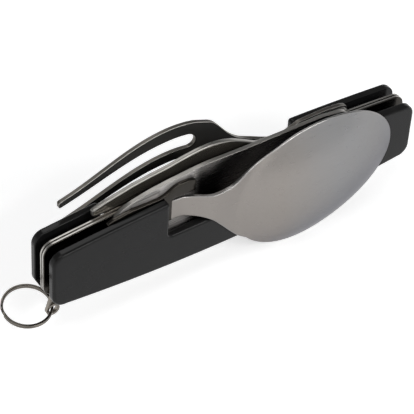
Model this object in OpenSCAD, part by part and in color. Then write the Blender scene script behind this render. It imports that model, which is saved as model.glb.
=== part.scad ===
// Folding picnic cutlery: two handle halves that slide apart back to back.
// The front half carries the spoon and the knife, the rear half the fork and the opener.
// Millimetres. X runs along the handle, Y across its thickness, Z is up and out of the slots.
// The origin is the middle of the closed handle, on the face where the two halves meet.

/* [Handle] */
// Length of the handle
handle_l = 110; // [96:1:135]
// Height of the handle at its middle
handle_h = 23; // [21:0.5:29]
// How far the top edge bows up at its middle
top_bow = 2.7; // [1:0.1:3.6]
// How far the bottom edge bows down at its middle
bottom_bow = 3.6; // [2:0.1:4.4]
// Radius of the handle's corners
corner_r = 3.4; // [2:0.1:5]

/* [Layers] */
// Thickness of a handle scale
scale_t = 2.2; // [1.8:0.1:3.2]
// Width of the slot that holds the tools
slot_t = 2.5; // [2.3:0.05:3.2]
// Thickness of a liner plate
liner_t = 0.9; // [0.7:0.05:1.4]
// Thickness of the folding tools
tool_t = 1.15; // [0.8:0.05:1.15]
// How far the pins and rivets reach into a scale
pin_bite = 1.2; // [0.8:0.1:1.6]

/* [Notch] */
// Distance from the handle's middle to the notch wall beside the tang
notch_near = 21.5; // [20:0.1:23]
// Distance from the handle's middle to the far notch wall
notch_far = 36; // [34:0.5:46]
// Height of the notch floor above the handle's middle
notch_floor = -0.5; // [-3:0.1:0.5]
// Radius of the corners at the notch floor
notch_r = 1.2; // [0.6:0.1:2]

/* [Pins] */
// Distance from a handle end to its pivot pin
pivot_inset = 8; // [7.5:0.1:10]
// Diameter of the pivot pins
pivot_d = 4; // [3:0.1:4.6]
// Height above its pin of the part of a tang that turns inside the handle's end
step_h = 5.2; // [4.4:0.1:5.4]
// Radius of the round heel of a tang
heel_r = 5.6; // [5:0.1:6.2]
// Diameter of the pin that holds the bail
bail_pin_d = 1.4; // [1:0.1:1.4]
// Diameter of the rivets
rivet_d = 2; // [1.4:0.1:2.6]
// Distance from the handle's middle to a rivet
rivet_x = 28; // [20:1:34]
// Outer diameter of the pivot washers
washer_d = 9; // [7.5:0.1:9.6]

/* [Springs] */
// Height of the back springs' top face
spring_top = -5.9; // [-7:0.1:-5.9]

/* [Coupling] */
// How far the halves slide before they lift apart
slide_l = 6; // [4:0.2:6.4]
// Diameter of a coupling stud's neck
stud_neck_d = 2.8; // [2:0.1:3]
// Diameter of a coupling stud's head
stud_head_d = 4.6; // [4:0.1:4.8]
// Thickness of a coupling stud's head
stud_head_t = 0.8; // [0.5:0.05:0.9]

/* [Spoon] */
// Length of the bowl from its neck to its tip
bowl_l = 49; // [42:0.5:54]
// Width of the bowl
bowl_w = 38; // [30:0.5:42]
// Depth of the bowl
bowl_depth = 6.2; // [4:0.1:9]
// Angle of the bowl's long axis to the handle
bowl_tilt = 9; // [0:0.5:12]
// Width of the spoon's and fork's necks
neck_w = 6.8; // [5.5:0.1:8]

/* [Fork] */
// Width of the fork's head at the roots of its tines
fork_w = 17.9; // [16:0.1:19]
// Width of the fork's head at the tips of its tines
fork_tip_w = 11.4; // [10.8:0.1:14]
// Width of a tine at its root
tine_w = 3.9; // [2.8:0.1:4.4]
// Width of a tine at its tip
tine_tip_w = 1.9; // [1.2:0.1:2.1]
// Length of the slots between the tines
tine_l = 39.1; // [34:0.1:41]
// How far the fork's head bows out
fork_bow = 3.2; // [1:0.1:5]

/* [Ring] */
// Mean radius of the split ring
ring_r = 6.25; // [5:0.05:9]
// Width of the split ring's section, across its turns
ring_wire = 0.7; // [0.5:0.05:0.8]
// Height of the split ring's two turns together
ring_h = 1.1; // [0.9:0.05:1.2]
// Inside radius of the bail's loop
loop_r = 1.2; // [1.15:0.05:2]
// Thickness of the bail's strip
strip_t = 0.7; // [0.5:0.05:1]
// Width of the bail's strip
strip_w = 1.1; // [0.8:0.05:1.15]

/* [Hidden] */
$fn = 64;

run_gap = 0.05;                  // radial clearance of a tool on its pin
seat_gap = 0.02;                 // radial clearance of a pressed pin
free_gap = 0.35;                 // clearance between a tool and a handle piece it passes
cut = 1;                         // how far a cutting solid overshoots
half_l = handle_l / 2;
half_t = liner_t + slot_t + scale_t;
layer_gap = (slot_t - 2 * tool_t) / 3;
layer_a = liner_t + layer_gap;                   // inner tool layer, beside the liner
layer_b = layer_a + tool_t + layer_gap;          // outer tool layer, beside the scale
slot_end = liner_t + slot_t;
outer_d = half_t + free_gap;                     // where the spoon and fork heads begin
pivot_x = half_l - pivot_inset;
step_x = pivot_x - pivot_inset - free_gap;       // a tang is wider from here on
jog_start = -notch_near + free_gap + 4.2;        // the neck leaves the slot beyond the notch wall
jog_l = 9;
jog_end = jog_start + jog_l;
neck_low = 2.4;                                  // height of the neck's lower edge
neck_high = neck_low + neck_w;
lug_start = jog_start - 6.05;                    // where the nail lug rises out of the tang
lug_end = jog_start + 4.45;                      // where the nail lug stops
slit_w = 0.4;                                    // slit between the lug and the neck
rivet_z = (spring_top + edge_z(rivet_x, -1)) / 2;
stud_x = [-pivot_x + 3.5, 10];                   // the studs, beside the pivot and between the tools
stud_z = [3.2, -2.9];
end_pin_x = -half_l + 6;
end_pin_z = spring_top + 2.3;
bail_pin_x = -half_l + 3.4;
bail_pin_z = spring_top - 0.5;
loop_x = -half_l + 1.95;
loop_z = edge_z(half_l, -1) - loop_r - strip_t - 2.7;   // the loop hangs below the corner
strip_mid = layer_a + strip_w / 2;
ring_tilt = [7.7, 0];                            // how the ring leans about X and Y
ring_turn = 145.6;                               // direction from the loop to the ring's centre

// Height of the handle's top (side 1) or bottom (side -1) edge at x
function edge_z(x, side) =
    side * handle_h / 2 - side * (side > 0 ? top_bow : bottom_bow) * pow(x / half_l, 2);
function edge_slope(x, side) =
    atan(-2 * side * (side > 0 ? top_bow : bottom_bow) * x / (half_l * half_l));
function ramp(t) = (1 - cos(180 * max(0, min(1, t)))) / 2;
function mix(a, b, t) = a + (b - a) * t;

// Points of one quarter of the handle's outline, from the middle of an edge to the end
function quarter(sx, sz) = let (
        xc = half_l - corner_r,
        lean = edge_slope(xc, 1) * (sz > 0 ? 1 : bottom_bow / top_bow),
        z0 = abs(edge_z(xc, sz)) - corner_r * cos(lean))
    concat(
        [for (i = [0:8]) let (x = xc * i / 8) [sx * x, edge_z(x, sz)]],
        [for (i = [0:8]) let (a = mix(90, 0, i / 8))
            [sx * (xc + corner_r * cos(a)), sz * (z0 + corner_r * sin(a))]]);
function turned(list) = [for (i = [len(list) - 1:-1:0]) list[i]];
function handle_points() = concat(quarter(1, 1), turned(quarter(1, -1)),
                                  quarter(-1, -1), turned(quarter(-1, 1)));

// A flat plate of the 2-D outline, d0 out from the joint face and t thick, on the front half
module plate(d0, t) {
    translate([0, -d0, 0]) rotate([90, 0, 0]) linear_extrude(height = t) children();
}

// The rear half is the front half turned half a circle about Z
module on_rear() {
    rotate([0, 0, 180]) children();
}

// Pin across the plates at x, z from depth d0 to d1
module pin(x, z, d, d0, d1) {
    translate([x, -d0, z]) rotate([90, 0, 0]) cylinder(d = d, h = d1 - d0);
}

module handle_outline() {
    polygon(handle_points());
}

// Outline of the notch in a scale's top edge, with rounded floor corners
module notch_outline() {
    difference() {
        translate([-notch_near, notch_floor]) square([notch_near + notch_far, handle_h]);
        for (s = [[-notch_near, 1], [notch_far, -1]]) difference() {
            translate([min(s[0], s[0] + s[1] * notch_r), notch_floor]) square([notch_r, notch_r]);
            translate([s[0] + s[1] * notch_r, notch_floor + notch_r]) circle(r = notch_r);
        }
    }
}

// Handle scale with its notch and the blind holes of the pins; pins is a list of [x, z, d]
module scale_body(pins) {
    difference() {
        plate(slot_end, scale_t) handle_outline();
        plate(slot_end - cut, scale_t + 2 * cut) notch_outline();
        for (p = pins) pin(p[0], p[1], p[2] + 2 * seat_gap, slot_end - cut, slot_end + pin_bite);
    }
}

module liner_body(pins) {
    difference() {
        plate(0, liner_t) handle_outline();
        for (p = pins) pin(p[0], p[1], p[2] + 2 * seat_gap, -cut, liner_t + cut);
    }
}

// Back spring along the bottom of the slot, from x0 to the far end of the handle
module spring_body(x0) {
    difference() {
        plate(liner_t, slot_t) intersection() {
            handle_outline();
            translate([x0, -handle_h]) square([handle_l, handle_h + spring_top]);
        }
        for (s = [-1, 1]) pin(s * rivet_x, rivet_z, rivet_d + 2 * seat_gap, 0, half_t);
    }
}

function rivet_pins() = [for (s = [-1, 1]) [s * rivet_x, rivet_z, rivet_d]];
function front_pins() = concat(rivet_pins(), [[-pivot_x, 0, pivot_d], [pivot_x, 0, pivot_d],
                                              [bail_pin_x, bail_pin_z, bail_pin_d]]);
// The rear half's pins in the front half's directions, before the half turn
function rear_pins() = concat(rivet_pins(), [[-pivot_x, 0, pivot_d],
                                             [-end_pin_x, end_pin_z, rivet_d]]);

module rivets() {
    for (s = [-1, 1]) pin(s * rivet_x, rivet_z, rivet_d, 0, slot_end + pin_bite);
}

// Bore of a tool that turns on the pivot pin at x
module pivot_bore(x) {
    pin(x, 0, pivot_d + 2 * run_gap, 0, half_t);
}

module pivot_washer(x, d0) {
    difference() {
        pin(x, 0, washer_d, d0, d0 + tool_t);
        pin(x, 0, pivot_d + 2 * seat_gap, d0 - cut, d0 + tool_t + cut);
    }
}

// Flat tang with a round heel, shared by the spoon and the fork
module tang_outline() {
    translate([-pivot_x, 0]) circle(r = heel_r);
    polygon([[-pivot_x, -heel_r], [-pivot_x + 9, -3.4], [jog_start - 3, neck_low + 0.4],
             [jog_start, neck_low], [jog_start, neck_high], [lug_start, 11.5], [-31.5, 11.7],
             [2.25 - step_x, 11.1], [0.5 - step_x, 10.4], [-step_x, step_h],
             [-pivot_x, step_h]]);
}

// Nail lug that stands up beside the spoon's neck
module lug_outline() {
    polygon([[lug_start, neck_high - 1], [jog_start - slit_w, neck_high - 1],
             [jog_start - slit_w, neck_high + slit_w], [lug_end, neck_high + slit_w],
             [lug_end, 13.2], [lug_end - 2, 13.8], [lug_start + 5.6, 13.9],
             [lug_start + 3.8, 13.2], [lug_start + 2, 12.1], [lug_start, 11.6]]);
}

// Side profile of a strip that leaves the slot and runs on outside the scale to x1;
// bow is how far it bows out between the neck and x1, peak is where
function strip_depth(x, peak, bow, x1) =
    x < jog_end ? mix(layer_b, outer_d, ramp((x - jog_start) / jog_l)) :
    x < peak ? outer_d + bow * ramp((x - jog_end) / (peak - jog_end)) :
    outer_d + bow * (1 - pow((x - peak) / (x1 - peak), 2));
module strip(peak, bow, x1) {
    steps = 28;
    xs = [for (i = [0:steps]) mix(jog_start, x1, i / steps)];
    inner = [for (x = xs) [x, -strip_depth(x, peak, bow, x1)]];
    outer = [for (p = inner) [p[0], p[1] - tool_t]];
    translate([0, 0, -handle_h]) linear_extrude(height = 3 * handle_h)
        polygon(concat([[jog_start - cut, -layer_b]], inner, turned(outer),
                       [[jog_start - cut, -layer_b - tool_t]]));
}

// Neck of the spoon, flaring into the upper edge of the bowl
module spoon_neck_outline() {
    polygon([[jog_start - cut, neck_low + 0.2], [jog_start, neck_low], [-12.3, neck_low - 0.6],
             [-11, neck_low - 0.8], [-9.5, neck_low - 1.7], [-7.1, -2.1], [-3.8, -6.2],
             [-2, -8.4], [0.4, -5], [2, 0], [3, 6], [3.4, 13.4], [1, 12.2], [-1.9, 10.1],
             [-3.6, 9.2], [-5.4, neck_high - 0.2], [-14.6, neck_high - 0.5],
             [jog_start, neck_high], [jog_start - cut, neck_high]]);
}

// Bowl: an egg-shaped dish, open towards the handle, with a thin rim
bowl_back = 0.45;                                // share of its length behind its widest place
bowl_x = -1.9 + bowl_l * bowl_back;              // the widest place of the bowl
bowl_z = -0.5;
module bowl() {
    rings = 10;
    spokes = 56;
    rim_t = 0.6;
    count = rings * spokes + 1;
    function reach(a) = bowl_l * (cos(a) < 0 ? bowl_back : 1 - bowl_back);
    function spot(i, j, skin) = let (
            r = i / rings,
            a = 360 * j / spokes,
            d = outer_d + bowl_depth * (1 - r * r) + skin * mix(tool_t, rim_t, r * r))
        [r * reach(a) * cos(a), -d, r * bowl_w / 2 * sin(a)];
    skin_points = [for (skin = [0, 1]) each concat([spot(0, 0, skin)],
        [for (i = [1:rings]) for (j = [0:spokes - 1]) spot(i, j, skin)])];
    function at(i, j, skin) = skin * count + (i == 0 ? 0 : 1 + (i - 1) * spokes + (j % spokes));
    faces = concat(
        [for (j = [0:spokes - 1]) [at(0, 0, 0), at(1, j, 0), at(1, j + 1, 0)]],
        [for (j = [0:spokes - 1]) [at(0, 0, 1), at(1, j + 1, 1), at(1, j, 1)]],
        [for (i = [1:rings - 1]) for (j = [0:spokes - 1])
            each [[at(i, j, 0), at(i + 1, j, 0), at(i + 1, j + 1, 0)],
                  [at(i, j, 0), at(i + 1, j + 1, 0), at(i, j + 1, 0)],
                  [at(i, j, 1), at(i + 1, j + 1, 1), at(i + 1, j, 1)],
                  [at(i, j, 1), at(i, j + 1, 1), at(i + 1, j + 1, 1)]]],
        [for (j = [0:spokes - 1])
            each [[at(rings, j, 0), at(rings, j, 1), at(rings, j + 1, 1)],
                  [at(rings, j, 0), at(rings, j + 1, 1), at(rings, j + 1, 0)]]]);
    translate([bowl_x, 0, bowl_z]) rotate([0, -bowl_tilt, 0])
        polyhedron(points = skin_points, faces = faces);
}

// Fork head: three tines that draw together towards their tips
root_low = 2.05;                                 // height of the head's lower edge
tip_low = 2.75;                                  // the same at the tips
tip_x = 46.5;
root_x = tip_x - tine_l;
draw_x = root_x + 4.6;                           // where the tines begin to draw together
root_top = root_low + fork_w;
root_w = [tine_w, tine_w - 0.9, tine_w - 0.2];   // widths of the tines at their roots, lowest first
mid_share = [0.467, 0.3];                        // height of the middle tine in the head, root and tip
root_z = [root_low + root_w[0] / 2, root_low + mid_share[0] * fork_w, root_top - root_w[2] / 2];
tip_z = [tip_low + tine_tip_w / 2, tip_low + mid_share[1] * fork_tip_w,
         tip_low + fork_tip_w - tine_tip_w / 2];
function drawn(x) = ramp((x - draw_x) / (tip_x - draw_x));
function tine_mid(k, x) = mix(root_z[k], tip_z[k], drawn(x));
function tine_half(k, x) = mix(root_w[k], tine_tip_w, drawn(x)) / 2;

// Outline of the tine k, counted from the lowest, with a blunt tip
module tine_outline(k) {
    tip_l = 1.6;
    xs = [for (i = [0:12]) mix(root_x - cut, tip_x - tip_l, i / 12)];
    polygon(concat([for (x = xs) [x, tine_mid(k, x) + tine_half(k, x)]],
                   [for (s = [0.6, -0.6]) [tip_x, tine_mid(k, tip_x) + s * tine_half(k, tip_x)]],
                   [for (x = turned(xs)) [x, tine_mid(k, x) - tine_half(k, x)]]));
}
module fork_outline() {
    difference() {
        polygon([[jog_start - cut, neck_low], [jog_end, neck_low], [root_x - 6, root_low + 0.2],
                 [root_x - 2, root_low], [root_x, root_low], [root_x, root_top],
                 [root_x - 1.9, root_top - 0.1], [1.6, root_top - 1], [0.5, root_top - 1.6],
                 [-0.9, root_top - 3.1], [-3.3, root_top - 6.1], [-5.2, root_top - 8],
                 [-7.3, 10.4], [-9.5, 9.4], [jog_end - 2, neck_high], [jog_start - cut, neck_high]]);
        for (k = [0, 1])
            let (low = root_z[k] + root_w[k] / 2, high = root_z[k + 1] - root_w[k + 1] / 2)
                translate([root_x, (low + high) / 2]) circle(d = high - low);
    }
    for (k = [0, 1, 2]) intersection() {
        tine_outline(k);
        translate([root_x, -handle_h]) square([handle_l, 3 * handle_h]);
    }
}

module front_scale() {
    color("#303030") scale_body(front_pins());
}

module front_liner() {
    color("#b4b2ae") liner_body(concat(front_pins(),
        [for (i = [0, 1]) [stud_x[i], stud_z[i], stud_neck_d]]));
}

module front_back_spring() {
    color("#8c8a86") spring_body(-half_l + pivot_inset + 1.2);
}

module front_rivets() {
    color("#a09e9a") rivets();
}

module spoon() {
    color("#8a8784") {
        difference() {
            union() {
                plate(layer_b, tool_t) {
                    tang_outline();
                    lug_outline();
                }
                intersection() {
                    strip(30, 0, 31);
                    plate(0, 3 * half_t) spoon_neck_outline();
                }
            }
            pivot_bore(-pivot_x);
        }
        bowl();
    }
}

module spoon_pivot_pin() {
    color("#a09e9a") pin(-pivot_x, 0, pivot_d, 0, slot_end + pin_bite);
}

module spoon_pin_washer() {
    color("#a09e9a") pivot_washer(-pivot_x, layer_a);
}

// Knife blade, edge down in the slot, with a nail nick near its tip
module knife() {
    nick_depth = 0.4;
    grind_h = 3.6;
    edge_low = -3;
    color("#a8a6a2") difference() {
        plate(layer_a, tool_t) {
            translate([pivot_x, 0]) circle(r = heel_r);
            polygon([[pivot_x, step_h], [step_x, step_h], [step_x - 1, 10], [34, 13.6], [27, 14.8],
                     [4, 15.1], [-8.8, 15.7],
                     [-19.3, 14.9], [-25.1, 14.2], [-31.5, 12.8], [-34.5, 11.4], [-36, 9.4],
                     [-34.5, 6], [-31, 2.4], [-26, -0.8], [-20, edge_low], [30, edge_low],
                     [33, -1.2], [38, -1.6], [42, -heel_r + 2.9], [pivot_x, -heel_r]]);
        }
        pivot_bore(pivot_x);
        translate([-31, -layer_a - tool_t - cut, 11.2]) cube([8.6, cut + nick_depth, 1.7]);
        for (side = [0, 1]) translate([-40, -layer_a - tool_t / 2, edge_low])
            mirror([0, side, 0]) rotate([90, 0, 90]) linear_extrude(height = 70)
                polygon([[0.15, -cut], [tool_t / 2, grind_h], [tool_t, grind_h], [tool_t, -cut]]);
    }
}

module knife_pivot_pin() {
    color("#a09e9a") pin(pivot_x, 0, pivot_d, 0, slot_end + pin_bite);
}

module knife_pin_washer() {
    color("#a09e9a") pivot_washer(pivot_x, layer_b);
}

// Two headed studs riveted in the front liner, heads behind the rear liner
module coupling_studs() {
    color("#c8c6c2") for (i = [0, 1]) {
        pin(stud_x[i], stud_z[i], stud_neck_d, -liner_t - 0.1, liner_t);
        pin(stud_x[i], stud_z[i], stud_head_d, -liner_t - 0.1 - stud_head_t, -liner_t - 0.1);
    }
}

module rear_scale() {
    color("#303030") on_rear() scale_body(rear_pins());
}

// Liner of the rear half, with a keyhole for each coupling stud
module rear_liner() {
    color("#b4b2ae") difference() {
        on_rear() liner_body(rear_pins());
        for (i = [0, 1]) {
            neck_hole = stud_neck_d + 2 * run_gap;
            pin(stud_x[i], stud_z[i], neck_hole, -liner_t - cut, cut);
            pin(stud_x[i] - slide_l, stud_z[i], stud_head_d + 8 * run_gap, -liner_t - cut, cut);
            translate([stud_x[i] - slide_l, -cut, stud_z[i] - neck_hole / 2])
                cube([slide_l, liner_t + 2 * cut, neck_hole]);
        }
    }
}

module rear_back_spring() {
    color("#8c8a86") on_rear() spring_body(-half_l);
}

module rear_rivets() {
    color("#a09e9a") on_rear() rivets();
}

module fork() {
    color("#2b2a28") on_rear() difference() {
        union() {
            plate(layer_b, tool_t) tang_outline();
            intersection() {
                strip(12, fork_bow, tip_x);
                plate(0, 4 * half_t) fork_outline();
            }
        }
        pivot_bore(-pivot_x);
    }
}

// Can and bottle opener with a screwdriver tip
module opener() {
    color("#6a6865") on_rear() difference() {
        plate(layer_a, tool_t) difference() {
            union() {
                translate([-pivot_x, 0]) circle(r = heel_r);
                polygon([[-pivot_x, -heel_r], [-40, -1.6], [-34, 0.6], [-4, 0.6], [2, 2.4],
                         [20, 7], [40, 10.4], [40, 12.4], [36, 13.6], [31.5, 14.6], [28.3, 15.3],
                         [23.4, 16], [18.2, 16.5], [13.5, 17.4], [8.8, 18], [5.5, 18], [2.1, 17.5],
                         [-1, 16.5], [-4.8, 14.4], [-8.6, 12.1], [-10.5, 11.6], [1 - step_x, 10.6],
                         [-step_x, step_h], [-pivot_x, step_h]]);
            }
            translate([10, 4.6]) circle(d = 6);
            translate([16, 4.2]) circle(d = 5);
        }
        pivot_bore(-pivot_x);
    }
}

module fork_pivot_pin() {
    color("#a09e9a") on_rear() pin(-pivot_x, 0, pivot_d, 0, slot_end + pin_bite);
}

module rear_end_pin() {
    color("#a09e9a") on_rear() pin(-end_pin_x, end_pin_z, rivet_d, 0, slot_end + pin_bite);
}

module rear_end_spacer() {
    spacer_d = 3.8;
    color("#8c8a86") on_rear() difference() {
        pin(-end_pin_x, end_pin_z, spacer_d, liner_t, slot_end);
        pin(-end_pin_x, end_pin_z, rivet_d + 2 * seat_gap, 0, half_t);
    }
}

// Strip bent round its pin in the slot and curled into a loop below the handle's corner
module bail() {
    eye_r = bail_pin_d / 2 + seat_gap;
    color("#b4b2ae") plate(layer_a, strip_w) difference() {
        union() {
            translate([bail_pin_x, bail_pin_z]) circle(r = eye_r + strip_t);
            translate([loop_x, loop_z]) circle(r = loop_r + strip_t);
            polygon([[bail_pin_x - eye_r - strip_t, bail_pin_z],
                     [loop_x - loop_r - strip_t, loop_z],
                     [loop_x - loop_r, loop_z],
                     [bail_pin_x - eye_r, bail_pin_z]]);
        }
        translate([bail_pin_x, bail_pin_z]) circle(r = eye_r);
        translate([loop_x, loop_z]) circle(r = loop_r);
    }
}

module bail_pin() {
    color("#a09e9a") pin(bail_pin_x, bail_pin_z, bail_pin_d, 0, slot_end + pin_bite);
}

module split_ring() {
    color("#4a4744") translate([loop_x, -strip_mid, loop_z])
        rotate([ring_tilt[0], ring_tilt[1], 0]) rotate([0, 0, ring_turn])
            translate([ring_r, 0, 0]) rotate_extrude($fn = 96)
                translate([ring_r - ring_wire / 2, -ring_h / 2]) square([ring_wire, ring_h]);
}

front_scale();
front_liner();
front_back_spring();
front_rivets();
spoon();
spoon_pivot_pin();
spoon_pin_washer();
knife();
knife_pivot_pin();
knife_pin_washer();
coupling_studs();
rear_scale();
rear_liner();
rear_back_spring();
rear_rivets();
fork();
opener();
fork_pivot_pin();
rear_end_pin();
rear_end_spacer();
bail();
bail_pin();
split_ring();
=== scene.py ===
"""Folding picnic cutlery: the shapes and finishes of its pieces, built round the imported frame."""

import math
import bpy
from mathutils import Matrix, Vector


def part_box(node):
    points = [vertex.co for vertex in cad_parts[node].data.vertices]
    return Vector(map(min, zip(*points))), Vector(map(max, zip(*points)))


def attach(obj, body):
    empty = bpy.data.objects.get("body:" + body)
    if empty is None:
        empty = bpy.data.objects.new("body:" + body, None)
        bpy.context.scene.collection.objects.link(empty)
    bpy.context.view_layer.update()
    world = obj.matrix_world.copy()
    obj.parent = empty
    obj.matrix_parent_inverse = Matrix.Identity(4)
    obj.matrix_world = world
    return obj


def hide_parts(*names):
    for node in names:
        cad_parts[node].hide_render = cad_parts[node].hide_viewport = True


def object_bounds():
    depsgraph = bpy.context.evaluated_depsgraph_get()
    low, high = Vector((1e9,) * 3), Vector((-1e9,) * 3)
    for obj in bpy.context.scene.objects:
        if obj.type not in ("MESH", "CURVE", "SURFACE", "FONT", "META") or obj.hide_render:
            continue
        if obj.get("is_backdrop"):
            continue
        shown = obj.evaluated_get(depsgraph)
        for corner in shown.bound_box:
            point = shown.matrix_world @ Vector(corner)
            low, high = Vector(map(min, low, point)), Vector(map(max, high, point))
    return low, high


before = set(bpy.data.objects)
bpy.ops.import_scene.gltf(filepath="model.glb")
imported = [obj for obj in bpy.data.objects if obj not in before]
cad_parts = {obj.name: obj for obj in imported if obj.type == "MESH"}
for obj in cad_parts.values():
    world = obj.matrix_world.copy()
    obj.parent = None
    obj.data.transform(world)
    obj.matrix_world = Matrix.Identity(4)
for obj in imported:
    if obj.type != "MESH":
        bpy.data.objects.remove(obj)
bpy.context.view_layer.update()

from types import SimpleNamespace

import bpy
import numpy as np
from mathutils import Matrix, Vector
from mathutils.geometry import delaunay_2d_cdt

bl_info = {
    "name": "Folding Picnic Cutlery",
    "version": (1, 0, 0),
    "blender": (4, 5, 0),
    "location": "View3D > Sidebar > Cutlery",
    "description": "Builds the pieces of a folding picnic cutlery set and a plain stage",
    "category": "Add Mesh",
}

MM = 0.001
UP_ARC = math.pi / 2
# Rows of a lattice of even triangles, and its clearance from an outline, in cells
ROW_STEP = 0.866
EDGE_CLEAR = 0.62
# Sockets of a Mix node that hold its two colours and its result
MIX_COLOURS = (6, 7)
MIX_RESULT = 2
HALVES = (("front", False), ("rear", True))

# ---------------------------------------------------------------- places taken from the frame


def low(node):
    """Lowest corner of a CAD node in millimetres."""
    return np.array(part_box(node)[0]) / MM


def high(node):
    """Highest corner of a CAD node in millimetres."""
    return np.array(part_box(node)[1]) / MM


def middle(node):
    """Centre of a CAD node's box in millimetres."""
    return (low(node) + high(node)) / 2


# Depths are measured out from the joint face, the same way on both halves
HALF_L = high("front_liner")[0]
TOP = high("front_liner")[2]
BOTTOM = low("front_liner")[2]
LINER_T = -low("front_liner")[1]
SLOT_END = -high("front_scale")[1]
HALF_T = -low("front_scale")[1]
LAYER_A = -high("knife")[1]
TOOL_T = high("knife")[1] - low("knife")[1]
LAYER_B = -high("spoon")[1]
PIVOT_X = middle("knife_pivot_pin")[0]
PIVOT_R = (high("knife_pivot_pin")[2] - low("knife_pivot_pin")[2]) / 2

# ---------------------------------------------------------------- sizes and colours


def length(name, description, mm):
    """A property that holds a length, given in millimetres."""
    return bpy.props.FloatProperty(
        name=name, description=description, default=mm * MM, unit="LENGTH", precision=5
    )


def angle(name, description, degrees):
    """A property that holds an angle, given in degrees."""
    return bpy.props.FloatProperty(
        name=name, description=description, default=math.radians(degrees), unit="ROTATION"
    )


def number(name, description, value):
    """A property that holds a plain number."""
    return bpy.props.FloatProperty(name=name, description=description, default=value)


def colour(name, description, value):
    """A property that holds a linear colour."""
    return bpy.props.FloatVectorProperty(
        name=name, description=description, default=value, subtype="COLOR", min=0, max=1
    )


class CutleryHandle(bpy.types.PropertyGroup):
    """Sizes of the scales and the liners."""

    top_bow: length("Top Bow", "How far the top edge bows up at its middle", 2.7)
    bottom_bow: length("Bottom Bow", "How far the bottom edge bows down at its middle", 3.6)
    corner: length("Corner Radius", "Radius of the handle's corners", 3.4)
    edge_round: length("Edge Rounding", "Radius of a scale's outer edges", 0.8)
    inner_round: length("Inner Rounding", "Radius of a scale's edges inside the slot", 0.3)
    liner_gap: length("Liner Gap", "Gap between the backs of the two liners", 0.02)
    liner_round: length("Liner Rounding", "Radius of a liner's edges", 0.22)
    notch_near: length("Notch Near", "Distance from the middle to the notch wall by the tang", 21.5)
    notch_far: length("Notch Far", "Distance from the middle to the far notch wall", 36)
    notch_floor: length("Notch Floor", "Height of the notch floor above the middle", -0.5)
    notch_radius: length("Notch Radius", "Radius at the notch floor's corners", 1.2)
    notch_lip: length("Notch Lip", "Radius where the notch walls meet the top edge", 1.0)
    slide: length("Slide", "How far the halves slide before they part", 6)


class CutleryTools(bpy.types.PropertyGroup):
    """Sizes that the folding tools share."""

    heel: length("Heel Radius", "Radius of the round heel of a tang", 5.6)
    step: length("Step Height", "Height of the part of a tang that turns inside the handle", 5.2)
    step_x: length("Step Place", "Distance from the middle to that step", 38.65)
    bore_gap: length("Bore Clearance", "Radial clearance of a tool on its pin", 0.05)
    clearance: length("Clearance", "Gap between a scale and the heads outside it", 0.35)
    jog_start: length("Jog Start", "Where a neck begins to leave its slot", -16.95)
    jog: length("Jog Length", "Length over which a neck leaves its slot", 9)
    neck_low: length("Neck Low", "Height of a neck's lower edge", 2.4)
    neck_high: length("Neck High", "Height of a neck's upper edge", 9.2)
    edge_round: length("Edge Rounding", "Radius of the tools' edges", 0.16)
    blade_round: length("Blade Rounding", "Radius of the blade's edges", 0.13)
    bevel: length("Bevel", "Radius of the opener's upper edges", 0.42)
    nick_depth: length("Nick Depth", "Depth of the nail nick in the blade", 0.4)
    grind: length("Grind Height", "Height of the ground edge of the blade", 3.6)
    edge_half: length("Edge Half Width", "Half the thickness left at the blade's edge", 0.15)


class CutlerySpoon(bpy.types.PropertyGroup):
    """Sizes of the spoon's bowl."""

    bowl_l: length("Bowl Length", "Length of the bowl", 49)
    bowl_w: length("Bowl Width", "Width of the bowl", 37.96)
    bowl_depth: length("Bowl Depth", "Depth of the bowl", 6.2)
    bowl_tilt: angle("Bowl Tilt", "Angle of the bowl's long axis to the handle", 9)
    bowl_back: number("Bowl Back", "Share of the length behind the widest place", 0.45)
    bowl_x: length("Bowl Place", "Where the widest place of the bowl lies", 20.15)
    bowl_z: length("Bowl Height", "Height of the widest place of the bowl", -0.5)
    rim_t: length("Rim Thickness", "Thickness of the bowl at its rim", 0.6)
    rim_round: length("Rim Rounding", "Radius of the rim's edges", 0.24)
    soft_rim: number("Rim Softness", "How softly the bowl starts at its rim", 0.12)
    lug_end: length("Lug End", "Where the nail lug stops", -12.5)
    slit: length("Slit", "Slit between the nail lug and the neck", 0.4)
    # The seam is where the painted shade on the tang gives way to the satin neck.
    seam: length("Seam", "Where the dark tang gives way to the satin neck", -19.6)


class CutleryFork(bpy.types.PropertyGroup):
    """Sizes of the fork's head."""

    low_root: length("Lowest Root", "Height of the lowest tine's middle at its root", 4.0)
    low_tip: length("Lowest Tip", "Height of the lowest tine's middle at its tip", 3.7)
    middle_root: length("Middle Root", "Height of the middle tine at its root", 10.41)
    middle_tip: length("Middle Tip", "Height of the middle tine at its tip", 6.17)
    top_root: length("Top Root", "Height of the top tine's middle at its root", 18.1)
    top_tip: length("Top Tip", "Height of the top tine's middle at its tip", 13.2)
    low_w: length("Lowest Width", "Width of the lowest tine at its root", 3.9)
    middle_w: length("Middle Width", "Width of the middle tine at its root", 3.0)
    top_w: length("Top Width", "Width of the top tine at its root", 3.7)
    tine_tip_w: length("Tip Width", "Width of every tine at its tip", 1.9)
    tine_l: length("Tine Length", "Length of the slots between the tines", 39.1)
    draw: length("Draw", "How far from their roots the tines begin to draw together", 4.6)
    bow: length("Bow", "How far the head bows out", 3.2)
    peak: length("Peak", "Where the head bows out most", 12)
    tip_x: length("Tip Place", "Where the tines end", 46.5)
    tip_round: length("Tip Rounding", "Radius of a tine's blunt end", 0.5)


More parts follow.
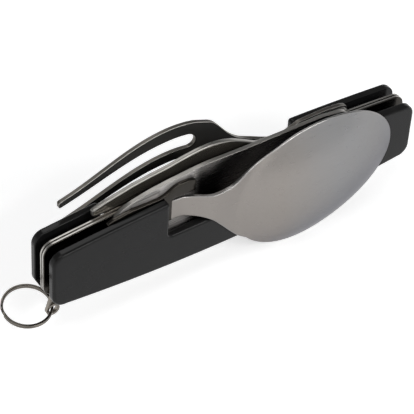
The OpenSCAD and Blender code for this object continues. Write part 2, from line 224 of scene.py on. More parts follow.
class CutleryRing(bpy.types.PropertyGroup):
    """Sizes of the split ring and the bail."""

    wire_w: length("Wire Width", "Width of the ring's flattened wire", 0.7)
    inset_r: length("Ring Inset", "How far the wire lies inside the ring's solid", 0.02)
    loop_r: length("Loop Radius", "Outer radius of the bail's loop", 1.9)
    turn_h: length("Turn Height", "Height of one turn of the ring", 0.49)
    wire_round: length("Wire Rounding", "Radius of the wire's edges", 0.14)
    lean: angle("Lean", "How far the ring leans about the handle's long axis", 7.7)
    ends: angle("Ends", "Direction of the ring's two ends from its middle", 154)
    ramp: angle("Ramp", "Angle over which one turn climbs to the next", 24)
    turn_gap: length("Turn Gap", "Gap between the ring's two turns", 0.05)
    strip_t: length("Strip Thickness", "Thickness of the bail's strip", 0.7)
    strip_round: length("Strip Rounding", "Radius of the strip's edges", 0.1)


class CutleryFinish(bpy.types.PropertyGroup):
    """Base colours of the finishes."""

    black: colour("Scale Black", "Satin black of the scales", (0.0095, 0.0095, 0.0098))
    # Lighter black of the rounded edges: partly worn thin, partly a painted highlight.
    black_wear_and_sheen: colour("Worn Edge", "Where the black is worn thin", (0.016, 0.0157, 0.015))
    spoon: colour("Spoon Steel", "Satin brushed steel of the spoon", (0.275, 0.255, 0.238))
    # Painted shade: cooler, darker colour of the spoon towards the bowl's tip, standing for the light
    # falling off there.
    spoon_far_painted_shade: colour("Spoon Far Steel", "The same towards the bowl's tip", (0.258, 0.258, 0.262))
    # Painted shade: near-black steel for the tangs and liner faces, standing for the shade and dark
    # reflections inside the slots.
    painted_shade: colour("Tang Steel", "Dark polish of the tangs", (0.035, 0.032, 0.028))
    blade: colour("Blade Steel", "Steel of the knife", (0.44, 0.42, 0.405))
    # Painted reflection: dark base of the fork's polished faces, standing for the dark surroundings they
    # reflect.
    polished: colour("Polished Steel", "Dark mirror faces of fork and opener", (0.085, 0.083, 0.080))
    ground: colour("Ground Edges", "Ground edges of the tools", (0.115, 0.107, 0.096))
    liner: colour("Liner Steel", "Steel of the liners", (0.42, 0.405, 0.38))
    spring: colour("Spring Steel", "Steel of the back springs", (0.18, 0.175, 0.165))
    pin: colour("Pin Steel", "Steel of pins, rivets, washers and studs", (0.30, 0.295, 0.285))
    ring: colour("Ring Nickel", "Dark nickel of the split ring", (0.16, 0.146, 0.128))
    # Painted reflection: dark base of the opener's polished face, standing for the dark surroundings it
    # reflects.
    opener: colour("Opener Face", "Dark steel of the opener's face", (0.11, 0.10, 0.085))


class CutleryStage(bpy.types.PropertyGroup):
    """Camera, floor and lamps."""

    azimuth: angle("Azimuth", "Direction of the camera round the object", -37.3)
    elevation: angle("Elevation", "Height of the camera above the horizon", 43.889)
    roll: angle("Roll", "Turn of the camera about its own axis", 4.3315)
    distance: length("Distance", "Distance from the camera to the object's origin", 527.96)
    aim_right: length("Aim Right", "How far right of the origin the camera aims", -5.343)
    aim_up: length("Aim Up", "How far above the origin the camera aims", -3.933)
    lens: number("Lens", "Focal length of the camera in millimetres", 180)
    floor_side: length("Floor Side", "Length of the floor's sides", 8000)
    floor_gap: length("Floor Gap", "Gap between the floor and the lowest piece", 0.1)
    floor_glow: number("Floor Glow", "White that the floor adds to its own shading", 0.54)
    wall_light: number("Wall Light", "Strength of the light from the white walls", 1.0)
    world_light: number("Ceiling Light", "Strength of the light from above the walls", 0.16)
    wall_top: number("Wall Top", "Height in the sky up to which the walls are at full strength", 0.18)
    ceiling_start: number("Ceiling Start", "Height in the sky above which only the ceiling shines", 0.45)


GROUPS = {
    "cutlery_handle": CutleryHandle,
    "cutlery_tools": CutleryTools,
    "cutlery_spoon": CutlerySpoon,
    "cutlery_fork": CutleryFork,
    "cutlery_ring": CutleryRing,
    "cutlery_finish": CutleryFinish,
    "cutlery_stage": CutleryStage,
}


def sizes(context, group):
    """The values of a property group, with its lengths in millimetres."""
    source = getattr(context.scene, "cutlery_" + group)
    values = {}
    for name in source.__annotations__:
        unit = source.bl_rna.properties[name].unit
        value = getattr(source, name)
        values[name] = value / MM if unit == "LENGTH" else value
    return SimpleNamespace(**values)


# ---------------------------------------------------------------- outlines


def ramp(t):
    """Smooth step from 0 to 1."""
    return (1 - np.cos(math.pi * np.clip(t, 0, 1))) / 2


def mix(a, b, t):
    """The value a share t of the way from a to b."""
    return a + (b - a) * t


def arc(x, z, radius, start, end, step=9):
    """Points of an arc from start to end, in degrees, anticlockwise if end is larger."""
    count = max(2, math.ceil(abs(end - start) / step))
    angles = np.radians(np.linspace(start, end, count + 1))
    return [(x + radius * math.cos(a), z + radius * math.sin(a), 0) for a in angles]


def rounded(corners, spacing):
    """Closed outline through corners (x, z, radius), with arcs at the corners and no long edges."""
    points = []
    straight, most_of_edge = math.radians(179.5), 0.49
    for i, (x, z, radius) in enumerate(corners):
        here = np.array((x, z))
        before = np.array(corners[i - 1][:2]) - here
        after = np.array(corners[(i + 1) % len(corners)][:2]) - here
        reach_a, reach_b = np.linalg.norm(before), np.linalg.norm(after)
        u, v = before / reach_a, after / reach_b
        opening = math.acos(float(np.clip(u @ v, -1, 1)))
        if radius <= 0 or opening > straight:
            points.append(here)
            continue
        back = min(radius / math.tan(opening / 2), most_of_edge * reach_a, most_of_edge * reach_b)
        radius = back * math.tan(opening / 2)
        bisector = (u + v) / np.linalg.norm(u + v)
        centre = here + bisector * radius / math.sin(opening / 2)
        a, b = here + u * back - centre, here + v * back - centre
        turn = math.pi - opening
        count = max(2, math.ceil(turn / math.radians(10)), math.ceil(radius * turn / spacing))
        for k in range(count + 1):
            share = k / count
            blend = (a * math.sin((1 - share) * turn) + b * math.sin(share * turn)) / math.sin(turn)
            points.append(centre + blend)
    return spaced(np.array(points), spacing)


def spaced(ring, spacing):
    """The ring with its doubled points left out and its long edges divided."""
    points, doubled = [], 1e-4
    for here, there in zip(ring, np.roll(ring, -1, 0)):
        span = np.linalg.norm(there - here)
        if span < doubled:
            continue
        count = max(1, math.ceil(span / spacing))
        points += [mix(here, there, k / count) for k in range(count)]
    return np.array(points)


def oriented(ring, hole):
    """The ring anticlockwise, or clockwise if it is a hole."""
    x, z = ring.T
    area = (x * np.roll(z, -1) - np.roll(x, -1) * z).sum()
    return ring if (area > 0) != hole else ring[::-1]


def inset(ring, distance):
    """The ring moved into the material, which lies to its left."""
    before = ring - np.roll(ring, 1, 0)
    after = np.roll(ring, -1, 0) - ring
    before /= np.linalg.norm(before, axis=1)[:, None]
    after /= np.linalg.norm(after, axis=1)[:, None]
    left_a = np.stack([-before[:, 1], before[:, 0]], 1)
    left_b = np.stack([-after[:, 1], after[:, 0]], 1)
    side = left_a + left_b
    side /= np.linalg.norm(side, axis=1)[:, None]
    stretch = np.maximum((side * left_a).sum(1), 0.5)
    return ring + side * (distance / stretch)[:, None]


def inside(points, rings):
    """Which points lie in the material that the rings bound."""
    found = np.zeros(len(points), bool)
    x, z = points.T
    for ring in rings:
        for (ax, az), (bx, bz) in zip(ring, np.roll(ring, -1, 0)):
            if az == bz:
                continue
            crosses = (az > z) != (bz > z)
            found ^= crosses & (x < ax + (bx - ax) * (z - az) / (bz - az))
    return found


def lattice(rings, loops, cell):
    """Staggered grid points inside the rings and clear of every loop."""
    lowest, highest = rings[0].min(0), rings[0].max(0)
    rows = np.arange(lowest[1], highest[1], cell * ROW_STEP)
    grid = np.array(
        [
            (x, z)
            for i, z in enumerate(rows)
            for x in np.arange(lowest[0] + (i % 2) * cell / 2, highest[0], cell)
        ]
    )
    grid = grid[inside(grid, rings)]
    edge = np.vstack(loops)
    gap = np.concatenate(
        [
            np.sqrt(((part[:, None] - edge[None]) ** 2).sum(2)).min(1)
            for part in np.array_split(grid, max(1, len(grid) // 500))
        ]
    )
    return grid[gap > EDGE_CLEAR * cell]


def fill(rings, cell, creases):
    """Points and triangles of the area within the rings; the rings' own points come first."""
    loops = [*rings, *creases]
    points = np.vstack(loops)
    edges, start = [], 0
    for loop in loops:
        count = len(loop)
        edges += [(start + i, start + (i + 1) % count) for i in range(count)]
        start += count
    if cell:
        points = np.vstack([points, lattice(rings, loops, cell)])
    _, _, faces, origin, _, _ = delaunay_2d_cdt([Vector(p) for p in points], edges, [], 0, 1e-6)
    triangles = np.array([[origin[i][0] for i in face] for face in faces])
    a, b, c = (points[triangles[:, k]] for k in range(3))
    turn = (b - a)[:, 0] * (c - a)[:, 1] - (b - a)[:, 1] * (c - a)[:, 0]
    triangles[turn < 0] = triangles[turn < 0][:, ::-1]
    keep = inside((a + b + c) / 3, rings) & (abs(turn) > 1e-9)
    return points, triangles[keep]


# ---------------------------------------------------------------- meshes


def new_piece(name, points, faces, materials, wear_and_sheen=None, kinds=None):
    """A smooth shaded object from points in millimetres, with its attribute that marks the rounded edges
    for wear and painted highlight.
    """
    mesh = bpy.data.meshes.new(name)
    mesh.from_pydata((np.asarray(points) * MM).tolist(), [], faces)
    mesh.validate()
    for material in materials:
        mesh.materials.append(material)
    if kinds is not None:
        mesh.polygons.foreach_set("material_index", kinds)
    mesh.polygons.foreach_set("use_smooth", [True] * len(mesh.polygons))
    # The attribute marks the rounded edges that the finishes lighten: partly wear, partly a painted
    # highlight.
    attribute = mesh.attributes.new("wear_and_sheen", "FLOAT", "POINT")
    attribute.data.foreach_set("value", np.zeros(len(points)) if wear_and_sheen is None else wear_and_sheen)
    mesh.update()
    piece = bpy.data.objects.new(name, mesh)
    bpy.context.scene.collection.objects.link(piece)
    normals = piece.modifiers.new("weighted_normal", "WEIGHTED_NORMAL")
    normals.keep_sharp = True
    return piece


def plate(name, rings, near, far, rounding, materials, cell=None, creases=(), rear=False, rows=3):
    """A plate with the outline and holes of rings, between depths near(x, z) and far(x, z).

    rounding holds the radius of the near and of the far edges. The first material covers the
    faces and the last one the wall between them; the middle one of three covers the rounding.
    """
    rings = [oriented(ring, hole=i > 0) for i, ring in enumerate(rings)]
    near_r, far_r = rounding
    profile = []
    for k in range(rows + 1):
        a = UP_ARC * k / rows
        profile.append((near_r * (1 - math.sin(a)), near, near_r * (1 - math.cos(a))))
    for k in range(rows + 1):
        a = UP_ARC * k / rows
        profile.append((far_r * (1 - math.cos(a)), far, -far_r * (1 - math.sin(a))))
    points, wear_and_sheen, faces, kinds = [], [], [], []

    def add(flat, depth, worn):
        start = len(points)
        points.extend((x, z, d) for (x, z), d in zip(flat, depth))
        wear_and_sheen.extend([worn] * len(flat))
        return np.arange(start, start + len(flat))

    table = []
    for ring in rings:
        rows_of_ring = []
        for j, (distance, surface, offset) in enumerate(profile):
            flat = inset(ring, distance)
            depth = surface(*flat.T) + offset
            rows_of_ring.append(add(flat, depth, 0.0 if j in (0, len(profile) - 1) else 1.0))
        table.append(rows_of_ring)
        for lower, upper in zip(rows_of_ring, rows_of_ring[1:]):
            for i in range(len(ring)):
                k = (i + 1) % len(ring)
                faces.append((lower[i], lower[k], upper[k], upper[i]))
                kinds.append(len(materials) - 1 if lower is rows_of_ring[rows] else len(materials) // 2)
    for row, surface, radius in ((0, near, near_r), (-1, far, far_r)):
        edge = [inset(ring, radius) for ring in rings]
        flat, triangles = fill(edge, cell, creases if row else ())
        known = np.concatenate([r[row] for r in table])
        extra = flat[len(known):]
        index = np.concatenate([known, add(extra, surface(*extra.T), 0.0)]) if len(extra) else known
        for triangle in triangles:
            order = triangle if row else triangle[::-1]
            faces.append(tuple(index[order]))
            kinds.append(0)
    x, z, d = np.array(points).T
    spots = np.stack([-x, d, z] if rear else [x, -d, z], 1)
    return new_piece(name, spots, [tuple(map(int, f)) for f in faces], materials, wear_and_sheen, kinds)


def repaint(piece, material, chosen):
    """Gives another material to the faces whose middle, in millimetres, is chosen."""
    piece.data.materials.append(material)
    for face in piece.data.polygons:
        if chosen(*(face.center / MM)):
            face.material_index = len(piece.data.materials) - 1


def level(depth):
    """A flat surface at that depth."""
    return lambda x, z: np.full(np.shape(x), float(depth))


def place(piece, body, slot, *nodes):
    """Hangs a finished piece on its body, in place of its CAD nodes."""
    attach(piece, body)
    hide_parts(*nodes)


# ---------------------------------------------------------------- finishes


class Finish:
    """A material in the making: one Principled shader and the nodes that feed it."""

    def __init__(self, name, metallic, roughness, specular=0.5):
        self.material = bpy.data.materials.new(name)
        self.material.use_nodes = True
        self.nodes = self.material.node_tree.nodes
        self.links = self.material.node_tree.links
        self.shader = self.nodes["Principled BSDF"]
        self.shader.inputs["Metallic"].default_value = metallic
        self.shader.inputs["Roughness"].default_value = roughness
        self.shader.inputs["Specular IOR Level"].default_value = specular
        self.place = self.nodes.new("ShaderNodeTexCoord").outputs["Object"]

    def noise(self, scale, detail, stretch=(1, 1, 1), seed=0.0):
        """Noise with that many features per metre, stretched by a factor along each axis."""
        mapping = self.nodes.new("ShaderNodeMapping")
        mapping.inputs["Scale"].default_value = [scale / s for s in stretch]
        mapping.inputs["Location"].default_value = (seed, seed * 0.7, seed * 1.3)
        self.links.new(self.place, mapping.inputs["Vector"])
        noise = self.nodes.new("ShaderNodeTexNoise")
        noise.inputs["Scale"].default_value = 1.0
        noise.inputs["Detail"].default_value = detail
        self.links.new(mapping.outputs["Vector"], noise.inputs["Vector"])
        return noise.outputs["Fac"]

    def spread(self, value, low_out, high_out, low_in=0.3, high_in=0.7):
        """A value mapped from one range to another."""
        node = self.nodes.new("ShaderNodeMapRange")
        self.links.new(value, node.inputs["Value"])
        for socket, number_in in zip(("From Min", "From Max", "To Min", "To Max"),
                                     (low_in, high_in, low_out, high_out)):
            node.inputs[socket].default_value = number_in
        return node.outputs["Result"]

    def sum(self, first, second, operation="ADD"):
        """The sum of two values, or another operation on them, kept between 0 and 1."""
        node = self.nodes.new("ShaderNodeMath")
        node.operation = operation
        node.use_clamp = True
        self.links.new(first, node.inputs[0])
        self.links.new(second, node.inputs[1])
        return node.outputs["Value"]

    def worn(self, noise, start, end):
        """Where a rounded edge is lightened, partly for wear and partly as a painted highlight: the edge
        attribute broken up by a noise.
        """
        attribute = self.nodes.new("ShaderNodeAttribute")
        attribute.attribute_name = "wear_and_sheen"
        return self.sum(attribute.outputs["Fac"], self.spread(noise, 0, 1, start, end), "MULTIPLY")

    def blend(self, factor, first, second):
        """A colour between two colours or sockets."""
        node = self.nodes.new("ShaderNodeMix")
        node.data_type = "RGBA"
        self.links.new(factor, node.inputs["Factor"])
        for index, value in zip(MIX_COLOURS, (first, second)):
            socket = node.inputs[index]
            if isinstance(value, bpy.types.NodeSocket):
                self.links.new(value, socket)
            else:
                socket.default_value = (*value, 1)
        return node.outputs[MIX_RESULT]

    def paint(self, value):
        """Sets the base colour."""
        self.links.new(value, self.shader.inputs["Base Color"])

    def rough(self, value):
        """Sets the roughness."""
        self.links.new(value, self.shader.inputs["Roughness"])

    def bump(self, height, strength, depth_mm):
        """Sets a fine relief."""
        node = self.nodes.new("ShaderNodeBump")
        node.inputs["Strength"].default_value = strength
        node.inputs["Distance"].default_value = depth_mm * MM
        self.links.new(height, node.inputs["Height"])
        self.links.new(node.outputs["Normal"], self.shader.inputs["Normal"])


def shaded(base, factor):
    """A colour made lighter or darker."""
    return tuple(min(1.0, c * factor) for c in base)


def satin_black(finish):
    """Satin black coating: a fine grain, lighter along the rounded edges, partly worn thin and partly a
    painted highlight.
    """
    coat = Finish("satin_black", 0.0, 0.15, specular=0.145)
    grain = coat.noise(7000, detail=2)
    patches = coat.noise(160, detail=4)
    body = coat.blend(coat.spread(patches, 0, 1), shaded(finish.black, 0.92), shaded(finish.black, 1.08))
    # The rounded edges get the lighter black: partly wear, partly a painted highlight.
    rubbed_and_lit = coat.worn(coat.noise(250, detail=3, seed=3.1), 0.2, 0.9)
    coat.paint(coat.blend(rubbed_and_lit, body, tuple(finish.black_wear_and_sheen)))
    coat.rough(coat.spread(patches, 0.13, 0.17))
    coat.bump(grain, 0.05, 0.01)
    return coat.material


def brushed(name, base, roughness, along=(60, 1, 1)):
    """Satin steel brushed along one axis, with faint smudges and brighter rounded edges, partly wear and
    partly a painted highlight.
    """
    steel = Finish(name, 1.0, roughness)
    lines = steel.noise(1500, detail=3, stretch=along)
    smudges = steel.noise(70, detail=4, seed=1.7)
    light = steel.blend(steel.spread(lines, 0, 1), shaded(base, 0.95), shaded(base, 1.06))
    # Painted highlight: the rounded edges are lightened, partly standing for wear.
    edge = steel.worn(steel.noise(300, detail=2, seed=5.3), 0.2, 0.8)
    steel.paint(steel.blend(edge, light, shaded(base, 1.15)))
    steel.rough(steel.sum(steel.spread(lines, roughness - 0.05, roughness + 0.05),
                          steel.spread(smudges, 0.0, 0.05)))
    steel.bump(lines, 0.1, 0.006)
    return steel.material


def mirror(name, base, roughness, edge_wear_and_sheen_factor=1.6, metallic=1.0):
    """Polished steel with hairline scratches, a little haze, and rounded edges lightened by a factor: a
    painted highlight, partly standing for wear.
    """
    steel = Finish(name, metallic, roughness)
    hair = steel.noise(1500, detail=3, stretch=(60, 1, 1), seed=2.2)
    haze = steel.noise(120, detail=4, seed=4.4)
    # The rounded edges are lightened by the edge factor: a painted highlight, partly standing for wear.
    steel.paint(
        steel.blend(steel.worn(haze, 0.2, 0.6), steel.blend(steel.spread(haze, 0, 1),
                    shaded(base, 0.9), shaded(base, 1.12)), shaded(base, edge_wear_and_sheen_factor))
    )
    steel.rough(steel.sum(steel.spread(haze, roughness * 0.7, roughness * 1.3),
                          steel.spread(hair, 0.0, 0.06, 0.55, 0.75)))
    steel.bump(hair, 0.08, 0.004)
    return steel.material


def blade_satin(finish):
    """Blade steel, satin beside the nail nick and darker towards the heel: painted shade where the blade
    lies inside the handle.
    """
    steel = Finish("blade_satin", 1.0, 0.26)
    lines = steel.noise(2600, detail=4, stretch=(30, 1, 1), seed=7.1)
    split = steel.nodes.new("ShaderNodeSeparateXYZ")
    steel.links.new(steel.place, split.inputs["Vector"])
    # Painted shade: past the satin part the blade turns dark, standing for the shade inside the handle.
    satin_end, dark_shade_start, streak = -0.0150, -0.0105, (0.6, 0.58, 0.56)
    along = steel.spread(split.outputs["X"], 0, 1, satin_end, dark_shade_start)
    light = steel.blend(steel.spread(lines, 0, 0.15), tuple(finish.blade), streak)
    steel.paint(steel.blend(along, light, shaded(tuple(finish.blade), 0.25)))
    steel.links.new(steel.spread(along, 0.35, 1.0, 0, 1), steel.shader.inputs["Metallic"])
    steel.rough(steel.spread(lines, 0.22, 0.30))
    steel.bump(lines, 0.15, 0.004)
    return steel.material


def spoon_satin(finish):
    """Satin steel, warm at the neck and cooler and darker towards the bowl's tip, a painted shade, with
    lighter edges, a painted highlight partly standing for wear.
    """
    steel = Finish("spoon_satin", 1.0, 0.30)
    steel.shader.inputs["Specular Tint"].default_value = (0.55, 0.55, 0.58, 1)
    lines = steel.noise(2600, detail=4, stretch=(30, 1, 1))
    clouds = steel.noise(45, detail=3, stretch=(1, 1, 2), seed=0.9)
    split = steel.nodes.new("ShaderNodeSeparateXYZ")
    steel.links.new(steel.place, split.inputs["Vector"])
    # Painted shade: the colour turns cooler and darker from the neck towards the bowl's tip, broken up by
    # clouds.
    warm_end, cool_shade_start = 0.004, 0.026
    streak, painted_rim_highlight = (0.33, 0.32, 0.31), (0.40, 0.39, 0.38)
    along = steel.spread(split.outputs["X"], 0, 1, warm_end, cool_shade_start)
    shift = steel.sum(along, steel.spread(clouds, -0.3, 0.3))
    tone_and_painted_shade = steel.blend(shift, tuple(finish.spoon), tuple(finish.spoon_far_painted_shade))
    fine = steel.blend(steel.spread(lines, 0, 0.12), tone_and_painted_shade, streak)
    # Painted highlight: the rounded rim and edges get a lighter steel.
    edge = steel.worn(steel.noise(300, detail=2, seed=5.3), 0.1, 0.5)
    steel.paint(steel.blend(edge, fine, painted_rim_highlight))
    steel.rough(steel.spread(lines, 0.27, 0.32))
    steel.bump(lines, 0.04, 0.004)
    return steel.material


FINISHES = {}


def finish_of(context, name):
    """The named finish, made once."""
    if name not in FINISHES:
        f = context.scene.cutlery_finish
        makers = {
            "satin_black": lambda: satin_black(f),
            "spoon_satin": lambda: spoon_satin(f),
            # Painted reflection: the opener's and the fork's faces get dark base colours in place of the
            # dark surroundings that polished steel reflects.
            "opener_face": lambda: mirror("opener_face", tuple(f.opener), 0.2, metallic=0.7),
            "shade_painted_steel": lambda: mirror("shade_painted_steel", tuple(f.painted_shade), 0.2),
            "bright_edge": lambda: brushed("bright_edge", shaded(f.liner, 0.72), 0.30),
            "blade_satin": lambda: blade_satin(f),
            "dark_mirror": lambda: mirror("dark_mirror", tuple(f.polished), 0.16, metallic=0.6),
            "ground_edge": lambda: brushed("ground_edge", tuple(f.ground), 0.34),
            "liner_steel": lambda: brushed("liner_steel", tuple(f.liner), 0.26),
            "spring_steel": lambda: brushed("spring_steel", tuple(f.spring), 0.36),
            "pin_steel": lambda: brushed("pin_steel", tuple(f.pin), 0.30, along=(1, 1, 1)),
            "dark_nickel": lambda: mirror("dark_nickel", tuple(f.ring), 0.22, edge_wear_and_sheen_factor=1.9),
        }
        FINISHES[name] = makers[name]()
    return FINISHES[name]


# ---------------------------------------------------------------- outlines of the pieces


def edge_z(size, x, side):
    """Height of the handle's top (side 1) or bottom (side -1) edge."""
    bow = size.top_bow if side > 0 else size.bottom_bow
    return (TOP if side > 0 else BOTTOM) - side * bow * (x / HALF_L) ** 2


def handle_end(size, side):
    """Corner points round one end of the handle, anticlockwise; side is the end's sign."""
    x = HALF_L - size.corner
    points = []
    for up in (-side, side):
        bow = size.top_bow if up > 0 else size.bottom_bow
        lean = math.atan(2 * bow * x / HALF_L**2)
        z = edge_z(size, x, up) - up * size.corner * math.cos(lean)
        middle_angle = {(1, -1): -90, (1, 1): 0, (-1, 1): 90, (-1, -1): 180}[(side, up)]
        points += arc(side * x, z, size.corner, middle_angle, middle_angle + 90)
    return points


def handle_edge(size, side, start, end):
    """Points along the handle's top or bottom edge from start to end."""
    spacing = 3.0
    count = max(1, math.ceil(abs(end - start) / spacing))
    return [(x, edge_z(size, x, side), 0) for x in np.linspace(start, end, count + 1)]


def handle_ring(size, notched):
    """Outline of a liner, or of a scale with its notch."""
    x = HALF_L - size.corner - 0.6
    points = handle_edge(size, -1, -x, x) + handle_end(size, 1)
    if notched:
        near, far, floor = -size.notch_near, size.notch_far, size.notch_floor
        points += handle_edge(size, 1, x, far + 2)
        points += [(far, edge_z(size, far, 1), size.notch_lip), (far, floor, size.notch_radius)]
        points += [(near, floor, size.notch_radius), (near, edge_z(size, near, 1), size.notch_lip)]
        points += handle_edge(size, 1, near - 2, -x)
    else:
        points += handle_edge(size, 1, x, -x)
    return rounded(points + handle_end(size, -1), spacing=1.0)


def circle(x, z, radius):
    """Outline of a round hole."""
    return np.array([p[:2] for p in arc(x, z, radius, 0, 360, step=12)[:-1]])


def bore(tool, x):
    """Hole in a tang for its pin."""
    return circle(x, 0, PIVOT_R + tool.bore_gap)


def heel(size, x, side):
    """Round heel of a tang, anticlockwise; side is -1 where the pivot is at the left end."""
    rise = math.degrees(math.asin(size.step / size.heel))
    return arc(x, 0, size.heel, *((rise, 270) if side < 0 else (-90, 180 - rise)))


def tang_under(tool):
    """Lower edge of a tang, from its heel to its neck."""
    return [
        (-PIVOT_X + 9, -3.4, 14),
        (tool.jog_start - 3, tool.neck_low + 0.4, 6),
        (tool.jog_start, tool.neck_low, 6),
    ]


def tang_over(tool, start):
    """Upper edge of a tang, from where it meets the neck or lug back to its step."""
    return [
        (start, 11.5, 4),
        (-31.5, 11.7, 12),
        (-tool.step_x + 2.25, 11.1, 2),
        (-tool.step_x + 0.5, 10.4, 0.8),
        (-tool.step_x, tool.step, 0.5),
    ]


def strip_depth(tool, x, bow, peak, end):
    """Depth of a strip that leaves its slot at the neck and bows out as far as it goes."""
    outer = HALF_T + tool.clearance
    leave = mix(LAYER_B, outer, ramp((x - tool.jog_start) / tool.jog))
    jog_end = tool.jog_start + tool.jog
    rise = outer + bow * ramp((x - jog_end) / (peak - jog_end))
    fall = outer + bow * (1 - ((x - peak) / (end - peak)) ** 2)
    return np.where(x < jog_end, leave, np.where(x < peak, rise, fall))


# ---------------------------------------------------------------- operators


class Build:
    """What every operator of this add-on shares."""

    bl_options = {"REGISTER", "UNDO"}


class CUTLERY_OT_scales(Build, bpy.types.Operator):
    """Build the two black handle scales with their tool notches"""

    bl_idname = "cutlery.scales"
    bl_label = "Handle Scales"

    def execute(self, context):
        size = sizes(context, "handle")
        black = finish_of(context, "satin_black")
        for half, rear in HALVES:
            piece = plate(
                half + "_scale_shell", [handle_ring(size, notched=True)], level(SLOT_END), level(HALF_T),
                (size.inner_round, size.edge_round), [black], rear=rear, rows=5,
            )
            place(piece, half + "_half", "black_scale", half + "_scale")
        return {"FINISHED"}


class CUTLERY_OT_liners(Build, bpy.types.Operator):
    """Build the two liners, with the keyholes of the coupling studs"""

    bl_idname = "cutlery.liners"
    bl_label = "Liners"

    def execute(self, context):
        size = sizes(context, "handle")
        # Painted shade: the liners' faces and rounded edges get the near-black steel; only their walls keep
        # the liner steel.
        finishes = [finish_of(context, name) for name in ("shade_painted_steel", "shade_painted_steel", "liner_steel")]
        for half, rear in HALVES:
            rings = [handle_ring(size, notched=False)]
            if rear:
                rings += self.keyholes(size)
            piece = plate(
                half + "_liner_plate", rings, level(size.liner_gap / 2), level(LINER_T),
                (size.liner_round, size.liner_round), finishes, rear=rear,
            )
            place(piece, half + "_half", "liner_steel", half + "_liner")
        return {"FINISHED"}

    @staticmethod
    def keyholes(size):
        """Keyhole outlines in the rear half's own directions."""
        least, most = low("coupling_studs"), high("coupling_studs")
        head, neck, play = 2.3, 1.45, 0.2
        spots = ((least[0] + head, most[2] - head), (most[0] - head, least[2] + head))
        rings = []
        for x, z in spots:
            open_angle = math.degrees(math.asin(neck / (head + play)))
            outline = arc(-x + size.slide, z, head + play, 180 - open_angle, -180 + open_angle)
            outline += arc(-x, z, neck, 270, 90)
            rings.append(rounded(outline, spacing=1.0))
        return rings


class CUTLERY_OT_hardware(Build, bpy.types.Operator):
    """Finish the back springs, pins, rivets, washers, studs and spacer"""

    bl_idname = "cutlery.hardware"
    bl_label = "Springs, Pins and Rivets"

    def execute(self, context):
        same_spot, edge_width, edge_angle = 0.001 * MM, 0.1 * MM, math.radians(40)
        springs = ("front_back_spring", "rear_back_spring")
        pins = (
            "front_rivets", "rear_rivets", "spoon_pivot_pin", "knife_pivot_pin", "fork_pivot_pin",
            "rear_end_pin", "bail_pin", "spoon_pin_washer", "knife_pin_washer", "rear_end_spacer",
            "coupling_studs",
        )
        for name in springs + pins:
            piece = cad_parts[name]
            piece.data.materials.clear()
            kind = "spring_steel" if name in springs else "pin_steel"
            piece.data.materials.append(finish_of(context, kind))
            weld = piece.modifiers.new("weld", "WELD")
            weld.merge_threshold = same_spot
            edge = piece.modifiers.new("edge", "BEVEL")
            edge.width = edge_width
            edge.segments = 2
            edge.limit_method = "ANGLE"
            edge.angle_limit = edge_angle
        return {"FINISHED"}


